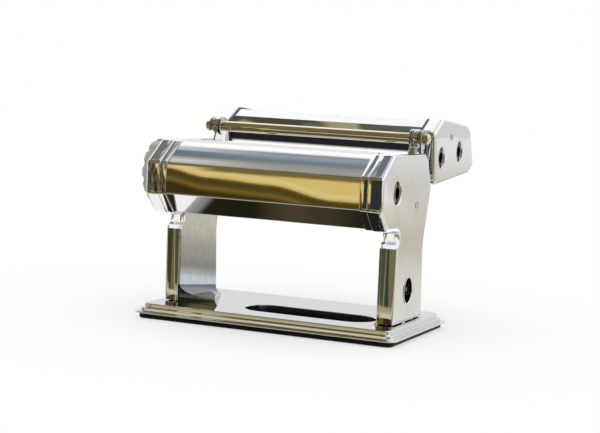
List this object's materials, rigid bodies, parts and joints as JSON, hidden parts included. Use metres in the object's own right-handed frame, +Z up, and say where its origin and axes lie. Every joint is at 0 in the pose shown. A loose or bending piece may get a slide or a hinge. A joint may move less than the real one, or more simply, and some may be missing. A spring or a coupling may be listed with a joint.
{
  "type": "pasta machine",
  "caption": "Hand-cranked chromed pasta machine with sheeting rollers, a thickness regulator knob and a lift-off twin cutter head.",
  "frame": {"origin": "centre of the base's underside, on the table", "axes": "+X to the crank side, along the rollers; +Y to the back, where the cutter head hangs; +Z up"},
  "size_m": [0.2215, 0.2171, 0.1582],
  "materials": {
    "chrome": "polished chrome plate, lightly used",
    "plain_steel": "zinc plated steel",
    "roller_alloy": "anodised aluminium, satin",
    "bronze": "sintered bronze",
    "black_rubber": "matt moulded rubber",
    "dial": "satin",
    "knob_plastic": "moulded plastic, semi gloss"
  },
  "bodies": {
    "machine_body": {"base_plate": "chrome", "base_gasket": "black_rubber", "foot_screws": "plain_steel", "frame_left": "chrome", "frame_right": "chrome", "cover_left": "chrome", "cover_right": "chrome", "band_left": "chrome", "band_right": "chrome", "front_cover": "chrome", "rear_cover": "chrome", "scraper_front": "plain_steel", "scraper_rear": "plain_steel", "tie_rods": "plain_steel", "hanger_rod": "chrome", "rod_collars": "chrome", "front_bushes": "bronze", "clamp_socket": "chrome", "cover_rivets": "plain_steel", "dial_plate": "dial", "regulator_bush": "bronze"},
    "driven_roller": {"front_roller": "roller_alloy", "front_gear": "plain_steel"},
    "roller_carriage": {"block_left": "bronze", "block_right": "bronze", "yoke_bar": "plain_steel"},
    "idle_roller": {"rear_roller": "roller_alloy", "rear_gear": "plain_steel"},
    "regulator_spindle": {"regulator_cam": "plain_steel"},
    "knob": {"regulator_knob": "knob_plastic", "knob_cap": "chrome"},
    "cutter_head": {"cutter_cover_left": "chrome", "cutter_cover_right": "chrome", "cutter_plate_left": "chrome", "cutter_plate_right": "chrome", "cutter_hooks": "plain_steel", "cutter_front_sheet": "chrome", "cutter_mid_sheet": "chrome", "cutter_rear_sheet": "chrome", "cutter_ties": "plain_steel", "cutter_bushes": "bronze", "cutter_rivets": "plain_steel", "rest_bumpers": "black_rubber", "wide_combs": "plain_steel", "narrow_combs": "plain_steel"},
    "wide_cutter": {"wide_driven": "roller_alloy", "wide_gear_driven": "plain_steel"},
    "wide_mate": {"wide_idle": "roller_alloy", "wide_gear_idle": "plain_steel"},
    "narrow_cutter": {"narrow_driven": "roller_alloy", "narrow_gear_driven": "plain_steel"},
    "narrow_mate": {"narrow_idle": "roller_alloy", "narrow_gear_idle": "plain_steel"}
  },
  "joints": [
    {"name": "crank_roller_spin", "type": "hinge", "parent": "machine_body", "child": "driven_roller", "pos_m": [0, -0.041, 0.106], "axis": [1, 0, 0], "continuous": true},
    {"name": "carriage_slide", "type": "slide", "parent": "machine_body", "child": "roller_carriage", "axis": [0, -1, 0], "range_m": [0, 0.0028]},
    {"name": "rear_roller_spin", "type": "hinge", "parent": "roller_carriage", "child": "idle_roller", "pos_m": [0, -0.003, 0.106], "axis": [1, 0, 0], "continuous": true},
    {"name": "regulator_turn", "type": "hinge", "parent": "machine_body", "child": "regulator_spindle", "pos_m": [0, -0.0044, 0.106], "axis": [1, 0, 0], "range_deg": [0, 240]},
    {"name": "knob_pull", "type": "slide", "parent": "regulator_spindle", "child": "knob", "axis": [-1, 0, 0], "range_m": [0, 0.005], "stiffness_N_per_m": 600, "springref_m": -0.006},
    {"name": "cutter_head_lift", "type": "slide", "parent": "machine_body", "child": "cutter_head", "axis": [0, 0, 1], "range_m": [0, 0.05]},
    {"name": "wide_cutter_spin", "type": "hinge", "parent": "cutter_head", "child": "wide_cutter", "pos_m": [0, 0.0565, 0.129], "axis": [1, 0, 0], "continuous": true},
    {"name": "wide_mate_spin", "type": "hinge", "parent": "cutter_head", "child": "wide_mate", "pos_m": [0, 0.0749, 0.129], "axis": [1, 0, 0], "continuous": true},
    {"name": "narrow_cutter_spin", "type": "hinge", "parent": "cutter_head", "child": "narrow_cutter", "pos_m": [0, 0.103, 0.133], "axis": [1, 0, 0], "continuous": true},
    {"name": "narrow_mate_spin", "type": "hinge", "parent": "cutter_head", "child": "narrow_mate", "pos_m": [0, 0.1214, 0.133], "axis": [1, 0, 0], "continuous": true}
  ],
  "couplings": [
    {"joint": "rear_roller_spin", "follows": "crank_roller_spin", "ratio": -1},
    {"joint": "regulator_turn", "follows": "carriage_slide", "rad_per_m": 1496},
    {"joint": "wide_mate_spin", "follows": "wide_cutter_spin", "ratio": -1},
    {"joint": "narrow_mate_spin", "follows": "narrow_cutter_spin", "ratio": -1}
  ]
}
